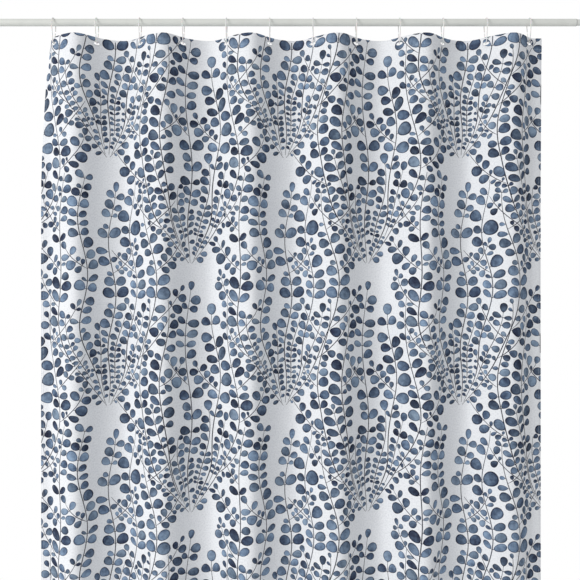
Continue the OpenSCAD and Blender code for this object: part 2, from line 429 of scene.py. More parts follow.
def swept(path, radii, sides, across):
    """Round bar through the points of a path. across is a direction square to the whole path."""
    path = np.asarray(path, float)
    along = np.gradient(path, axis=0)
    along /= np.linalg.norm(along, axis=1)[:, None]
    across = np.broadcast_to(np.asarray(across, float), path.shape)
    other = np.cross(along, across)
    turn = 2 * np.pi * np.arange(sides) / sides
    ring = (
        np.cos(turn)[None, :, None] * other[:, None, :]
        + np.sin(turn)[None, :, None] * across[:, None, :]
    )
    points = path[:, None, :] + np.asarray(radii, float)[:, None, None] * ring
    return points.reshape(-1, 3), tube_faces(len(path), sides)


# ---------------------------------------------------------------- the cloth's surface

FLAT_WIDTH = 1.8
FLAT_HEIGHT = CLOTH_TOP - CLOTH_BOTTOM
HOLE_MARGIN = 45 * MM
FLAT_PITCH = (FLAT_WIDTH - 2 * HOLE_MARGIN) / (RING_COUNT - 1)
HOLE_AT = [HOLE_MARGIN + k * FLAT_PITCH for k in range(RING_COUNT)]
HOLE_DROP = 19 * MM
FOLD_DEPTH = 37.5 * MM
FOLD_LEAN = math.radians(6.0)
FOLD_CREST = 0.14
FOLD_STEPS = 240
# Below the rings the folds wander: where that begins and over what height it grows, how far
# they shift, in radians, and by what share their depth varies
FREE_FROM = 0.06
FREE_OVER = 0.45
FOLD_WANDER = 0.075
DEPTH_WANDER = 0.05
FOLD_SEED = 11
DEPTH_SEED = 23
COLUMNS_PER_PITCH = 30
MARGIN_COLUMNS = 8
CLOTH_T = 0.5 * MM
FACE = CLOTH_T / 2
# The cloth past the outer rings: how far its edge is turned back at the top and low down, in
# degrees, and the share of the margin in which it turns. It has opened at that height below
# the top edge.
LEFT_TURN = (80.0, 4.0, 0.6)
RIGHT_TURN = (2.0, 13.0, 0.5)
MARGIN_OPENS = 0.46
MARGIN_EASE = 0.6
MARGIN_STEPS = 60
FINE_ROWS = 16
FINE_ROW = 4 * MM
COARSE_FROM = 0.08
COARSE_ROWS = 97


def slow_wave(x, v, seed):
    """Slow uneven wave over the cloth, between about -1 and 1."""
    rng = random.Random(seed)
    count = 4
    total = np.zeros(np.broadcast(x, v).shape)
    for _ in range(count):
        per_x = rng.uniform(3.0, 13.0)
        per_v = rng.uniform(0.8, 3.2)
        total = total + np.sin(per_x * x + per_v * v + rng.uniform(0.0, 2 * math.pi))
    return total / count ** 0.5


def fold_line(v):
    """The cloth's line seen from above at a distance v below its top edge: flat place, x and y."""
    length = LAST_RING - FIRST_RING
    x = FIRST_RING + np.linspace(0.0, length, (RING_COUNT - 1) * FOLD_STEPS + 1)
    free = smooth_step((v - FREE_FROM) / FREE_OVER)
    phase = np.pi * (x - FIRST_RING) / PITCH + free * FOLD_WANDER * slow_wave(x, v, FOLD_SEED)
    wave = np.sin(phase - FOLD_LEAN * (1.0 - np.cos(2.0 * phase)))
    depth = FOLD_DEPTH * (1.0 + free * DEPTH_WANDER * slow_wave(x, v, DEPTH_SEED))
    y = -depth * (wave + FOLD_CREST * wave * wave)
    run = np.concatenate([[0.0], np.cumsum(np.hypot(np.diff(x), np.diff(y)))])
    flat = np.interp(run, run[::FOLD_STEPS], HOLE_AT)
    left = margin_line(x[:2], y[:2], LEFT_TURN, v)
    right = margin_line(x[:-3:-1], y[:-3:-1], RIGHT_TURN, v)
    flat = np.concatenate([HOLE_AT[0] - left[0][:0:-1], flat, HOLE_AT[-1] + right[0][1:]])
    x = np.concatenate([left[1][:0:-1], x, right[1][1:]])
    y = np.concatenate([left[2][:0:-1], y, right[2][1:]])
    return flat, x, y


def margin_line(x, y, turn, v):
    """The free edge past the last ring: its heading eases from the fold's to its own.

    x and y are those of the fold's end and of the point before it.
    """
    top, low, hurry = turn
    along = np.linspace(0.0, HOLE_MARGIN, MARGIN_STEPS)
    side = math.copysign(1.0, x[0] - x[1])
    first = math.atan2(y[0] - y[1], abs(x[0] - x[1]))
    last = math.radians(top + (low - top) * min(v / MARGIN_OPENS, 1.0) ** MARGIN_EASE)
    heading = first + (last - first) * smooth_step(along / (hurry * HOLE_MARGIN))
    step = along[1] - along[0]
    xs = x[0] + side * np.concatenate([[0.0], np.cumsum(np.cos(heading[:-1]) * step)])
    ys = y[0] + np.concatenate([[0.0], np.cumsum(np.sin(heading[:-1]) * step)])
    return along, xs, ys


def cloth_columns():
    margin = np.linspace(0.0, HOLE_MARGIN, MARGIN_COLUMNS + 1)
    count = (RING_COUNT - 1) * COLUMNS_PER_PITCH
    folds = np.linspace(HOLE_AT[0], HOLE_AT[-1], count + 1)
    return np.concatenate([margin[:-1], folds, FLAT_WIDTH - margin[::-1][1:]])


def cloth_rows():
    fine = np.arange(FINE_ROWS) * FINE_ROW
    coarse = np.linspace(COARSE_FROM, FLAT_HEIGHT, COARSE_ROWS)
    return np.concatenate([fine, coarse])


COLUMNS = cloth_columns()
ROWS = cloth_rows()


def cloth_grid():
    """Points and outward normals of the cloth's middle surface at its rows and columns."""
    grid = np.zeros((len(ROWS), len(COLUMNS), 3))
    for i, v in enumerate(ROWS):
        flat, x, y = fold_line(v)
        grid[i, :, 0] = np.interp(COLUMNS, flat, x)
        grid[i, :, 1] = np.interp(COLUMNS, flat, y)
        grid[i, :, 2] = CLOTH_TOP - v
    across = np.gradient(grid, COLUMNS, axis=1)
    down = np.gradient(grid, ROWS, axis=0)
    normal = np.cross(down, across)
    normal /= np.linalg.norm(normal, axis=2)[:, :, None]
    normal *= -np.sign(normal[:, :, 1].mean())
    return grid, normal


GRID, NORMAL = cloth_grid()


def on_grid(values, u, v):
    i = np.clip(np.searchsorted(ROWS, v, "right") - 1, 0, len(ROWS) - 2)
    j = np.clip(np.searchsorted(COLUMNS, u, "right") - 1, 0, len(COLUMNS) - 2)
    s = ((v - ROWS[i]) / (ROWS[i + 1] - ROWS[i]))[:, None]
    t = ((u - COLUMNS[j]) / (COLUMNS[j + 1] - COLUMNS[j]))[:, None]
    upper = values[i, j] * (1 - t) + values[i, j + 1] * t
    lower = values[i + 1, j] * (1 - t) + values[i + 1, j + 1] * t
    return upper * (1 - s) + lower * s


def on_cloth(u, v, offset):
    """Places flat points on the hanging cloth, at an offset in front of its middle surface."""
    u = np.asarray(u, float)
    v = np.asarray(v, float)
    offset = np.broadcast_to(np.asarray(offset, float), u.shape)
    return on_grid(GRID, u, v) + on_grid(NORMAL, u, v) * offset[:, None]


# ---------------------------------------------------------------- cloth, hems and stitches

HOLE_HALF_W = 9.35 * MM
HOLE_HALF_H = 3.5 * MM
# Each opening is cut in a block of the cloth's net: columns to each side, and its rows. The cut
# edge lies under the thread, outside the opening, and the print stops clear of the thread.
HOLE_BLOCK = 3
HOLE_TOP_ROW = 2
HOLE_LOW_ROW = 8
HOLE_GROW = 1.2 * MM
HOLE_CLEAR = 1.8 * MM
HOLE_THREAD_HALF_W = 1.0 * MM
HOLE_THREAD_HALF_T = 0.95 * MM
HEADER_H = 36 * MM
HEADER_ROWS = 10
BOTTOM_H = 25 * MM
SIDE_HEM_W = 10 * MM
# Offsets of the hems' two faces behind the cloth's middle, and how far the cloth and the hems
# stop short of the edge, inside its rolled fold
HEM_BACK = -1.2 * MM
HEM_FRONT = -0.5 * MM
EDGE_INSET = 0.4 * MM
HEM_INSET = 0.9 * MM


def oval(angle, grow):
    """Offset on a buttonhole's outline, made larger by grow."""
    power = 0.8
    c = np.cos(angle)
    s = np.sin(angle)
    u = (HOLE_HALF_W + grow) * np.sign(c) * np.abs(c) ** power
    v = (HOLE_HALF_H + grow) * np.sign(s) * np.abs(s) ** power
    return u, v


def cloth_net(rows):
    """Flat points and faces over those rows, with an oval opening at each buttonhole."""
    count = len(COLUMNS)
    u, v = np.meshgrid(COLUMNS, rows)
    u = u.ravel().tolist()
    v = v.ravel().tolist()
    top = HOLE_TOP_ROW
    low = HOLE_LOW_ROW
    taken = set()
    faces = []
    for k, hole in enumerate(HOLE_AT):
        left = MARGIN_COLUMNS + k * COLUMNS_PER_PITCH - HOLE_BLOCK
        right = left + 2 * HOLE_BLOCK
        taken.update(i * count + j for i in range(top, low) for j in range(left, right))
        edge = [top * count + j for j in range(left, right)]
        edge += [i * count + right for i in range(top, low)]
        edge += [low * count + j for j in range(right, left, -1)]
        edge += [i * count + left for i in range(low, top, -1)]
        first = len(u)
        for n, a in enumerate(edge):
            turn = math.atan2((v[a] - HOLE_DROP) / HOLE_HALF_H, (u[a] - hole) / HOLE_HALF_W)
            du, dv = oval(turn, HOLE_GROW)
            u.append(hole + float(du))
            v.append(HOLE_DROP + float(dv))
            m = (n + 1) % len(edge)
            faces.append((a, first + n, first + m, edge[m]))
    faces += [face for face in grid_faces(len(rows), count) if face[0] not in taken]
    return np.array(u), np.array(v), faces


def flat_place(u, v, layer=0.0):
    return np.stack([u, v, np.full(len(u), layer)], axis=1)


def shell(u, v, faces, front, back):
    """Closed thin sheet over flat faces, from its back offset to its front offset."""
    count = len(u)
    edges = {}
    for face in faces:
        for a, b in zip(face, face[1:] + face[:1]):
            if (b, a) in edges:
                del edges[(b, a)]
            else:
                edges[(a, b)] = True
    skin = list(faces)
    skin += [tuple(i + count for i in reversed(face)) for face in faces]
    skin += [(b, a, a + count, b + count) for a, b in edges]
    points = np.concatenate([on_cloth(u, v, front), on_cloth(u, v, back)])
    return points, skin, np.concatenate([flat_place(u, v), flat_place(u, v, 1.0)])


def add_cloth(name, material, *parts):
    """Joins parts, each of points, faces and flat places, in one mesh."""
    faces = []
    count = 0
    for points, part_faces, _ in parts:
        faces += [tuple(count + i for i in face) for face in part_faces]
        count += len(points)
    points = np.concatenate([part[0] for part in parts])
    made = add_mesh(name, points, faces, material)
    store(made, "cloth_place", np.concatenate([part[2] for part in parts]))
    return made


# Cross-section of a folded edge in millimetres: distance in from the edge, and offset in
# front of the cloth
EDGE_PROFILE = [
    (1.7, -1.20), (0.75, -1.20), (0.35, -1.08), (0.08, -0.80), (0.0, -0.45),
    (0.08, -0.10), (0.35, 0.18), (0.75, 0.29), (1.7, 0.29),
]


def edge_roll(u, v, inward):
    """Rounded fold along an edge of the cloth."""
    profile = np.array(EDGE_PROFILE) * MM
    sides = len(profile)
    count = len(u)
    all_u = (u[:, None] + inward[0] * profile[None, :, 0]).ravel()
    all_v = (v[:, None] + inward[1] * profile[None, :, 0]).ravel()
    offset = np.tile(profile[:, 1], count)
    points = on_cloth(all_u, all_v, offset)
    faces = tube_faces(count, sides, flip=inward[0] > 0 or inward[1] < 0)
    return points, faces, flat_place(all_u, all_v)


def strip_net(columns, rows):
    u, v = np.meshgrid(columns, rows)
    return u.ravel(), v.ravel(), grid_faces(len(rows), len(columns))


def make_cloth(material):
    rows = ROWS.copy()
    rows[0] = EDGE_INSET
    rows[-1] = FLAT_HEIGHT - EDGE_INSET
    u, v, faces = cloth_net(rows)
    u = np.clip(u, EDGE_INSET, FLAT_WIDTH - EDGE_INSET)
    return add_cloth("curtain_cloth", material, shell(u, v, faces, FACE, -FACE))


def make_hems(material):
    """The folded hems behind the cloth, each with its rolled edge."""
    rows = ROWS[:HEADER_ROWS].copy()
    rows[0] = HEM_INSET
    level = np.zeros(len(COLUMNS))
    seam = FLAT_HEIGHT - BOTTOM_H
    low = np.array([seam, FLAT_HEIGHT - BOTTOM_H / 2, FLAT_HEIGHT - HEM_INSET])
    hems = [
        ("header", cloth_net(rows), edge_roll(COLUMNS, level, (0.0, 1.0))),
        ("bottom", strip_net(COLUMNS, low), edge_roll(COLUMNS, level + FLAT_HEIGHT, (0.0, -1.0))),
    ]
    inside = np.append(ROWS[(ROWS >= HEADER_H) & (ROWS <= seam)], seam)
    for name, edge, inward in (("left", 0.0, 1.0), ("right", FLAT_WIDTH, -1.0)):
        reach = np.sort(edge + inward * np.array([HEM_INSET, 5.5 * MM, SIDE_HEM_W]))
        roll = edge_roll(np.full(len(ROWS), edge), ROWS, (inward, 0.0))
        hems.append((name, strip_net(reach, inside), roll))
    return [
        add_cloth(f"cloth_{name}_hem", material, shell(*net, HEM_FRONT, HEM_BACK), roll)
        for name, net, roll in hems
    ]


STITCH_LENGTH = 3.2 * MM
STITCH_PITCH = 4.2 * MM
STITCH_R = 0.3 * MM
STITCH_SIDES = 6
STITCH_INSET = 2.2 * MM
SEAM_END = 2 * MM


def stitch_row(start, end):
    """Flat middles and direction of the stitches along a straight seam."""
    start = np.array(start)
    end = np.array(end)
    length = np.linalg.norm(end - start)
    count = int(length / STITCH_PITCH)
    t = (np.arange(count) + 0.5) / count
    return start + t[:, None] * (end - start), (end - start) / length


def make_stitches(name, offset, material):
    """Rows of straight stitches that hold the hems, on one face of the cloth."""
    top = HEADER_H - STITCH_INSET
    low = FLAT_HEIGHT - BOTTOM_H + STITCH_INSET
    left = SIDE_HEM_W - STITCH_INSET
    right = FLAT_WIDTH - left
    seams = [
        stitch_row((SEAM_END, top), (FLAT_WIDTH - SEAM_END, top)),
        stitch_row((SEAM_END, low), (FLAT_WIDTH - SEAM_END, low)),
        stitch_row((left, top), (left, low)),
        stitch_row((right, top), (right, low)),
    ]
    sides = STITCH_SIDES
    turn = 2 * np.pi * np.arange(sides) / sides
    points = []
    faces = []
    for middles, along in seams:
        across = np.array([-along[1], along[0]])
        for centre in middles:
            first = len(points)
            for reach, share in ((-0.5, 0.0), (-0.36, 1.0), (0.36, 1.0), (0.5, 0.0)):
                r = share * STITCH_R
                for a in turn[:sides if r else 1]:
                    place = centre + along * reach * STITCH_LENGTH + across * r * math.cos(a)
                    points.append((*place, offset + r * 0.8 * math.sin(a)))
            for j in range(sides):
                a = first + 1 + j
                b = first + 1 + (j + 1) % sides
                faces.append((first, a, b))
                faces.append((a, a + sides, b + sides, b))
                faces.append((a + sides, first + 1 + 2 * sides, b + sides))
    placed = on_cloth(*np.array(points).T)
    return add_mesh(name, placed, faces, material)


def make_buttonholes(material):
    """Overcast thread round each opening, as a ridged oval band."""
    around = 120
    sides = 8
    middle_offset = (FACE + HEM_BACK) / 2
    turn = 2 * np.pi * np.arange(around) / around
    round_turn = 2 * np.pi * np.arange(sides) / sides
    ridge = 1.0 + 0.10 * np.where(np.arange(around) % 2 == 0, 1.0, -1.0)
    points = []
    faces = []
    for hole in HOLE_AT:
        first = len(points)
        for a, r in zip(turn, ridge):
            for b in round_turn:
                du, dv = oval(a, HOLE_THREAD_HALF_W * (1.0 + 0.96 * r * math.cos(b)))
                offset = middle_offset + HOLE_THREAD_HALF_T * r * math.sin(b)
                points.append((hole + du, HOLE_DROP + dv, offset))
        faces += tube_faces(around, sides, first, closed=True, flip=True)
    placed = on_cloth(*np.array(points).T)
    return add_mesh("buttonhole_threads", placed, faces, material)


# ---------------------------------------------------------------- the print

REPEAT_W = 0.640
REPEAT_H = 0.770
PRINT_SEED = 4229
LEAF_GAP = 1.3 * MM
STEM_GAP = 1.2 * MM
# A leaf is printed a little smaller than the room it takes
PRINTED_SHARE = 0.977
TILTS = [0, -14, 14]
SIZES = [1.0, 0.9, 0.8, 0.7, 0.6, 0.5]
SMALLEST_LEAF = 10.5 * MM


class Print:
    """Leaves and stems of one repeat of the print, laid without overlaps across its borders."""

    def __init__(self):
        self.rng = random.Random(PRINT_SEED)
        self.leaves = []
        self.stems = []
        self.ellipses = np.zeros((0, 5))
        self.stem_points = np.zeros((0, 3))

    def wrap(self, d):
        size = np.array([REPEAT_W, REPEAT_H])
        return (d + size / 2) % size - size / 2

    def add_stem(self, path, width, tone):
        index = len(self.stems)
        self.stems.append({"path": path, "width": width, "tone": tone})
        rows = np.column_stack([path, np.full(len(path), index)])
        self.stem_points = np.vstack([self.stem_points, rows])
        return index

    def clear(self, leaf, own):
        """Whether a leaf lies free of the other leaves and of the other stems."""
        centre, along, half_l, half_w = leaf
        across = np.array([-along[1], along[0]])
        turn = np.arange(14) * 2 * np.pi / 14
        rim = (
            np.cos(turn)[:, None] * along * (half_l + LEAF_GAP)
            + np.sin(turn)[:, None] * across * (half_w + LEAF_GAP)
        )
        e = self.ellipses
        gap = self.wrap(centre - e[:, :2])
        near = np.hypot(gap[:, 0], gap[:, 1]) < half_l + e[:, 3] + LEAF_GAP
        e = e[near]
        gap = gap[near]
        d = gap[:, None, :] + rim[None, :, :]
        c = np.cos(e[:, 2])[:, None]
        s = np.sin(e[:, 2])[:, None]
        p = (d[..., 0] * c + d[..., 1] * s) / e[:, 3][:, None]
        q = (-d[..., 0] * s + d[..., 1] * c) / e[:, 4][:, None]
        if np.any(p * p + q * q < 1.0) or np.any(np.hypot(gap[:, 0], gap[:, 1]) < half_w):
            return False
        other = self.stem_points[self.stem_points[:, 2] != own]
        d = self.wrap(other[:, :2] - centre)
        p = (d @ along) / (half_l + STEM_GAP)
        q = (d @ across) / (half_w + STEM_GAP)
        return not np.any(p * p + q * q < 1.0)

    def add_leaf(self, base, direction, length, ratio, own, widening, tone):
        """Lays a leaf with its foot at base, at the largest size that fits."""
        for size, tilt in [(size, tilt) for size in SIZES for tilt in TILTS]:
            along = turned(direction, tilt)
            half_l = length * size / 2
            half_w = half_l * ratio
            if half_l < SMALLEST_LEAF / 2:
                return False
            petiole = 1.6 * MM + 0.16 * half_l
            centre = base + along * (petiole + half_l)
            if self.clear((centre, along, half_l, half_w), own):
                turn = math.atan2(along[1], along[0])
                row = [[centre[0], centre[1], turn, half_l, half_w]]
                self.ellipses = np.vstack([self.ellipses, row])
                self.leaves.append({
                    "centre": centre, "along": along,
                    "half_l": half_l * PRINTED_SHARE, "half_w": half_w * PRINTED_SHARE,
                    "foot": base, "widening": widening, "tone": tone,
                    "seed": self.rng.random(), "hue": self.rng.random() ** 1.5,
                })
                return True
        return False


def direction_at(path, i):
    a = path[max(i - 1, 0)]
    b = path[min(i + 1, len(path) - 1)]
    d = b - a
    return d / np.linalg.norm(d)


def turned(d, degrees):
    c = math.cos(math.radians(degrees))
    s = math.sin(math.radians(degrees))
    return np.array([d[0] * c - d[1] * s, d[0] * s + d[1] * c])


def leaf_tone(rng):
    """Mostly middle blues, some pale and some nearly black."""
    pick = rng.random()
    if pick < 0.22:
        return rng.uniform(0.14, 0.28)
    if pick < 0.80:
        return rng.uniform(0.32, 0.48)
    return rng.uniform(0.52, 0.70)


def stem_path(rng, foot, height, side, reach, start, grown):
    """A stem that leaves the sprig's foot, swings out to its side and winds upwards."""
    count = 90
    t = np.linspace(start, grown, count)
    out = np.sin(np.minimum(t / 0.42, 1.0) * np.pi / 2)
    back = rng.uniform(-0.10, 0.30) * abs(side) * smooth_step((t - 0.45) / 0.55)
    turns = rng.uniform(1.5, 2.3)
    sway = rng.uniform(9, 17) * MM * np.sin(2 * np.pi * (t * turns + rng.random()))
    u = foot[0] + side * 5 * MM + side * reach * (out - back) + sway * smooth_step(t / 0.30)
    v = foot[1] - abs(side) * 0.016 - height * t
    return np.column_stack([u, v])


# Share of the full leaf length at places from a sprig's foot to its tip
LENGTH_AT = [0.0, 0.06, 0.18, 0.40, 0.8, 1.0]
LENGTH_SHARE = [0.48, 0.54, 0.70, 1.0, 0.95, 0.74]


def size_along(t, rng, largest):
    """Length of the leaves at a share t of the way up a sprig."""
    share = np.interp(t, LENGTH_AT, LENGTH_SHARE)
    return float(share) * largest * rng.uniform(0.84, 1.14)


def leaf_nodes(rng, path, start, largest, grown):
    """Places along a stem where a pair of leaves grows: index, share of the sprig, and length."""
    run = np.concatenate([[0.0], np.cumsum(np.linalg.norm(np.diff(path, axis=0), axis=1))])
    at = start
    nodes = []
    while at < run[-1] - 5 * MM:
        t = grown * at / run[-1]
        length = size_along(t, rng, largest)
        nodes.append((int(np.searchsorted(run, at)), t, length))
        at += length * rng.uniform(0.90, 1.04)
    return nodes


# The stems of a sprig: how far each swings to the left or right, and the ranges of its height
# and start as shares of the sprig's height, of its tone, and of its width and largest leaf
TALL = {
    "sides": (-1.0, -0.52, 0.02, 0.50, 1.0), "grown": (0.84, 1.0), "start": (0.02, 0.05),
    "tone": (0.5, 1.0), "width": (2.7, 3.3), "leaf": (33, 40),
}
SHORT = {
    "sides": (-0.70, -0.24, 0.26, 0.74), "grown": (0.30, 0.48), "start": (0.06, 0.13),
    "tone": (0.4, 0.9), "width": (2.2, 2.6), "leaf": (28, 34),
}
OUTER = 0.8
OUTER_TWIGS = (0.20, 0.38, 0.60, 0.80)
INNER_TWIGS = (0.62,)


def lay_sprig(pattern, foot, height, reach):
    """Tall and short stems that fan out from a sprig's foot, with side shoots."""
    rng = pattern.rng
    laid = []
    for kind in (TALL, SHORT):
        for side in kind["sides"]:
            grown = rng.uniform(*kind["grown"])
            lean = side + rng.uniform(-0.06, 0.06)
            start = 0.0 if abs(side) > OUTER else rng.uniform(*kind["start"])
            path = stem_path(rng, foot, height, lean, reach, start, grown)
            width = rng.uniform(*kind["width"]) * MM
            own = pattern.add_stem(path, width, rng.uniform(*kind["tone"]))
            laid.append((path, own, lean, grown, rng.uniform(*kind["leaf"]) * MM))
    for path, _, side, _, _ in laid[:len(TALL["sides"])]:
        outer = abs(side) > OUTER
        for share in OUTER_TWIGS if outer else INNER_TWIGS:
            way = math.copysign(1.0, side) if outer else rng.choice([-1.0, 1.0])
            length = rng.uniform(0.11, 0.17) if outer else rng.uniform(0.08, 0.12)
            at = share + rng.uniform(-0.05, 0.05)
            laid.append(lay_twig(pattern, path, at, way, length))
    return laid


def lay_twig(pattern, path, share, way, length):
    """A side shoot from that share of a stem's length, to the left or right as way says."""
    rng = pattern.rng
    count = 30
    lean = rng.uniform(52, 66)
    end = rng.uniform(14, 38)
    points = [path[int(len(path) * share)]]
    for t in np.linspace(0.0, 1.0, count)[1:]:
        step = turned(np.array([0.0, -1.0]), way * (lean + (end - lean) * t))
        points.append(points[-1] + step * length / (count - 1))
    shoot = np.array(points)
    width = rng.uniform(*SHORT["width"]) * MM
    own = pattern.add_stem(shoot, width, rng.uniform(*SHORT["tone"]))
    return shoot, own, way, None, rng.uniform(27, 33) * MM


def lay_leaves(pattern, laid):
    """Grows the leaves of every stem, the lowest first, so that neighbours share the room."""
    rng = pattern.rng
    jobs = []
    for path, own, side, grown, largest in laid:
        twig = grown is None
        start = 16 * MM if twig else rng.uniform(8, 22) * MM
        shade = rng.uniform(-0.08, 0.08)
        for i, t, length in leaf_nodes(rng, path, start, largest, 1.0 if twig else grown):
            jobs.append((0.5 if twig else t, path, own, i, length, side, shade))
        tip_length = size_along(1.0 if twig else grown, rng, largest)
        jobs.append((0.0 if twig else grown, path, own, len(path) - 1, -tip_length, side, shade))
    jobs.sort(key=lambda job: job[0])
    for _, path, own, i, length, side, shade in jobs:
        d = direction_at(path, i)
        tone = leaf_tone(rng) + shade
        ratio = rng.uniform(0.55, 0.68) if rng.random() < 0.20 else rng.uniform(0.72, 0.90)
        widening = rng.uniform(0.10, 0.30)
        if length < 0:
            pattern.add_leaf(path[i], d, -length, ratio, own, widening, tone)
            continue
        spread = rng.uniform(54, 80)
        for way in (-1, 1):
            depth = min(max(tone + rng.uniform(-0.12, 0.12), 0.05), 0.95)
            outward = 1.16 if way * side > 0.3 else 0.96
            size = length * outward * rng.uniform(0.90, 1.10)
            direction = turned(d, way * (spread + rng.uniform(-8, 8)))
            pattern.add_leaf(path[i], direction, size, ratio, own, widening, depth)


# Foot, height and reach of the sprigs of one repeat
SPRIGS = [((0.0, 0.0), 0.745, 0.172), ((0.300, -0.440), 0.730, 0.165)]


def make_pattern():
    pattern = Print()
    laid = []
    for foot, height, reach in SPRIGS:
        laid += lay_sprig(pattern, foot, height, reach)
    lay_leaves(pattern, laid)
    return pattern


PRINT_ORIGIN = (0.237, 0.381)
STEM_LIFT = 0.16 * MM
LEAF_LIFT = 0.22 * MM
# Lift of the painted see-through shade behind the cloth's back face
SEE_THROUGH_SHADE_LIFT = 0.12 * MM
HEM_LEAF_LIFT = 0.25 * MM
LEAF_GROUPS = 4

# The cloth's regions that carry the print: flat limits, and how they lie behind the cloth
ALL_WIDTH = (0.0, FLAT_WIDTH)
BETWEEN_HEMS = (HEADER_H, FLAT_HEIGHT - BOTTOM_H)
FRONT = {"u": ALL_WIDTH, "v": (0.0, FLAT_HEIGHT), "fold": None}
BEHIND = [
    {"u": ALL_WIDTH, "v": (-HEADER_H, 0.0), "fold": ("v", 0.0)},
    {"u": ALL_WIDTH, "v": (FLAT_HEIGHT, FLAT_HEIGHT + BOTTOM_H), "fold": ("v", FLAT_HEIGHT)},
    {"u": (-SIDE_HEM_W, 0.0), "v": BETWEEN_HEMS, "fold": ("u", 0.0)},
    {"u": (FLAT_WIDTH, FLAT_WIDTH + SIDE_HEM_W), "v": BETWEEN_HEMS, "fold": ("u", FLAT_WIDTH)},
]


def to_sheet(u, v, region):
    """Flat places on the sheet for places of a region that is folded behind it."""
    if region["fold"] is None:
        return u, v
    axis, line = region["fold"]
    if axis == "v":
        return u, 2 * line - v
    return 2 * line - u, v


def repeats():
    """Offsets of every repeat of the print that can touch the cloth."""
    return [
        np.array([PRINT_ORIGIN[0] + i * REPEAT_W, PRINT_ORIGIN[1] + j * REPEAT_H])
        for i in range(-2, 4) for j in range(-1, 5)
    ]


def hole_clip(u):
    """Half height that a buttonhole and its thread take at each flat place across."""
    taken = np.zeros(len(u))
    for hole in HOLE_AT:
        share = np.clip(1.0 - ((u - hole) / (HOLE_HALF_W + HOLE_CLEAR)) ** 2, 0.0, 1.0)
        taken = np.maximum(taken, (HOLE_HALF_H + HOLE_CLEAR) * share ** 0.4)
    return taken


def leaf_slices(leaf, offset, region, fine):
    """Upper and lower outline of a leaf at each column, clipped to a region."""
    c = leaf["centre"] + offset
    half_l = leaf["half_l"]
    half_w = leaf["half_w"]
    along = leaf["along"]
    turn = np.linspace(0.0, 2 * np.pi, 73)
    a = np.cos(turn)
    b = np.sin(turn) * (1.0 + leaf["widening"] * a)
    outline_u = c[0] + along[0] * a * half_l - along[1] * b * half_w
    outline_v = c[1] + along[1] * a * half_l + along[0] * b * half_w
    lo = max(outline_u.min(), region["u"][0])
    hi = min(outline_u.max(), region["u"][1])
    if hi - lo < 0.5 * MM:
        return []
    if outline_v.max() < region["v"][0] or outline_v.min() > region["v"][1]:
        return []
    place = 0.5 - 0.5 * np.cos(np.linspace(0.0, np.pi, fine))
    span = outline_u.max() - outline_u.min()
    columns = outline_u.min() + span * (0.001 + 0.998 * place)
    edges = COLUMNS
    if region["fold"] and region["fold"][0] == "u":
        edges = 2 * region["fold"][1] - COLUMNS
    columns = np.concatenate([columns, edges, [lo + 1e-6, hi - 1e-6]])
    columns = np.unique(np.round(columns[(columns >= lo) & (columns <= hi)], 6))
    if len(columns) < 2:
        return []
    left = int(np.argmin(outline_u[:-1]))
    ring_u = np.roll(outline_u[:-1], -left)
    ring_v = np.roll(outline_v[:-1], -left)
    right = int(np.argmax(ring_u))
    one = np.interp(columns, ring_u[:right + 1], ring_v[:right + 1])
    back_u = np.concatenate([ring_u[right:], ring_u[:1]])[::-1]
    back_v = np.concatenate([ring_v[right:], ring_v[:1]])[::-1]
    two = np.interp(columns, back_u, back_v)
    top = np.minimum(one, two)
    low = np.maximum(one, two)
    parts = []
    for ceiling, floor in region_bands(region, columns):
        t = np.clip(top, ceiling, floor)
        b = np.clip(low, ceiling, floor)
        if np.any(b - t > 0.1 * MM):
            parts.append((columns, t, b))
    return parts


def region_bands(region, columns):
    """Upper and lower limits of a region at each column, above and below the buttonholes."""
    lowest, highest = region["v"]
    ends = np.full(len(columns), lowest), np.full(len(columns), highest)
    axis_line = HOLE_DROP if region["fold"] is None else -HOLE_DROP
    if not lowest < axis_line < highest:
        return [ends]
    taken = hole_clip(columns)
    return [(ends[0], axis_line - taken), (axis_line + taken, ends[1])]


def add_print(name, u, v, lift, faces, tones, material):
    """A mesh of flat printed shapes that lies on the cloth."""
    made = add_mesh(name, on_cloth(u, v, lift), faces, material)
    store(made, "leaf_tone", tones)
    store(made, "cloth_place", flat_place(u, v))
    return made


def make_leaf_mesh(name, chosen, regions, lift, rows, fine, material):
    """One mesh of printed leaves, each cut along the cloth's columns so that it lies on it."""
    points_u = []
    points_v = []
    local = []
    tones = []
    faces = []
    count = 0
    share = np.linspace(0.0, 1.0, rows)[:, None]
    slices = [
        (leaf, offset, region, cut)
        for leaf, offset in chosen
        for region in regions
        for cut in leaf_slices(leaf, offset, region, fine)
    ]
    for leaf, offset, region, (columns, top, low) in slices:
        n = len(columns)
        v = top[None, :] * (1 - share) + low[None, :] * share
        u = np.broadcast_to(columns, v.shape)
        d = np.stack([u - leaf["centre"][0] - offset[0], v - leaf["centre"][1] - offset[1]], -1)
        along = leaf["along"]
        a = (d @ along) / leaf["half_l"]
        b = (d @ np.array([-along[1], along[0]])) / leaf["half_w"]
        w = np.full(a.shape, leaf["widening"])
        sheet_u, sheet_v = to_sheet(u, v, region)
        points_u.append(sheet_u.ravel())
        points_v.append(sheet_v.ravel())
        local.append(np.stack([a, b, w], -1).reshape(-1, 3))
        tones.append(np.tile([leaf["tone"], leaf["seed"], leaf["hue"]], (n * rows, 1)))
        laid = grid_faces(rows, n, count)
        if region["fold"] is None and lift < 0:
            laid = [face[::-1] for face in laid]
        faces += laid
        count += n * rows
    u = np.concatenate(points_u)
    v = np.concatenate(points_v)
    made = add_print(name, u, v, lift, faces, np.concatenate(tones), material)
    store(made, "leaf_place", np.concatenate(local))
    return made


